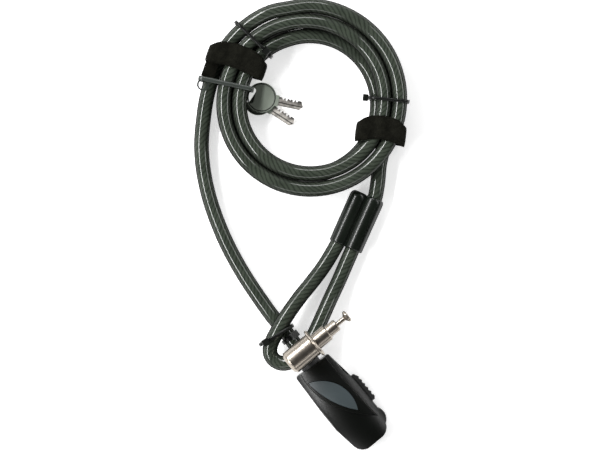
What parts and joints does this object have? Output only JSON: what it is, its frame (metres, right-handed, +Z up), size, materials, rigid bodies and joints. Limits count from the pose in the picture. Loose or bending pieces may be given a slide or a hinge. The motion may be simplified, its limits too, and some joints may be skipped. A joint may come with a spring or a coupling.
{
  "type": "cable lock",
  "caption": "Keyed cable lock: moulded lock body with a sliding keyway cover on a coiled steel cable, a sleeved eye at its far end, a separate locking pin, keys and shipping straps.",
  "frame": {"origin": "on the surface that everything lies on, under the centre of the lock housing's length and width", "axes": "+Y along the housing towards the cable outlet and the coil, +X towards the keyway and its sliding cover, +Z up out of the housing's moulded front, towards the camera"},
  "size_m": [0.2399, 0.3323, 0.0505],
  "materials": {
    "housing": "satin",
    "inlay": "satin",
    "cover": "matte",
    "collar": "matte",
    "zinc": "as cast",
    "steel": "satin",
    "brass": "satin",
    "nickel": "polished",
    "cable": "clear smoke jacket over strands",
    "sleeve": "gloss",
    "crimp": "pressed",
    "strap": "matte",
    "tie": "satin",
    "key_tie": "satin",
    "bow": "satin",
    "blade": "nickel plate"
  },
  "bodies": {
    "lock": {"front_shell": "housing", "rear_shell": "housing", "grip_inlay": "inlay", "lock_core": "zinc", "socket_bush": "steel", "housing_screws": "steel", "cable_collar": "collar", "cable_ferrule": "crimp", "anchor_pin": "steel", "rail_plate": "steel", "cylinder_clip": "steel", "latch_spring": "steel", "cable_lead": "cable", "cable_coil": "cable", "cable_tail": "cable", "cable_eye": "cable", "eye_sleeve": "sleeve", "crimp_ferrule": "crimp", "left_strap": "strap", "right_strap": "strap", "top_tie": "tie", "right_tie": "tie", "key_tie": "key_tie", "crossing_tie": "tie", "lead_tie": "tie"},
    "cover": {"keyway_cover": "cover"},
    "cylinder": {"key_cylinder": "brass", "wafers": "brass", "cylinder_cam": "zinc"},
    "latch": {"latch_slide": "steel"},
    "pin": {"pin_barrel": "nickel", "pin_flange": "nickel", "locking_bolt": "nickel"},
    "front_key": {"front_key_bow": "bow", "front_key_blade": "blade"},
    "rear_key": {"rear_key_bow": "bow", "rear_key_blade": "blade"}
  },
  "joints": [
    {"name": "cover_slide", "type": "slide", "parent": "lock", "child": "cover", "axis": [0, 1, 0], "range_m": [0, 0.014]},
    {"name": "cylinder_turn", "type": "hinge", "parent": "lock", "child": "cylinder", "pos_m": [0, -0.0055, 0.01], "axis": [1, 0, 0], "range_deg": [0, 90]},
    {"name": "latch_drop", "type": "slide", "parent": "lock", "child": "latch", "axis": [0, 0, -1], "range_m": [0, 0.00325], "stiffness_N_per_m": 60, "springref_m": -0.004, "deforming": ["latch_spring"]},
    {"name": "pin_lift", "type": "slide", "parent": "lock", "child": "pin", "axis": [0, 0, 1], "range_m": [0, 0.06]},
    {"name": "front_key_swing", "type": "hinge", "parent": "lock", "child": "front_key", "pos_m": [0.10487, 0.23956, 0.0063], "axis": [0, 0, 1], "range_deg": [-12, 4]},
    {"name": "rear_key_swing", "type": "hinge", "parent": "lock", "child": "rear_key", "pos_m": [0.10487, 0.23956, 0.0032], "axis": [0, 0, 1], "range_deg": [-8, 12]}
  ],
  "couplings": [
    {"joint": "cylinder_turn", "follows": "latch_drop", "rad_per_m": 482.93}
  ]
}
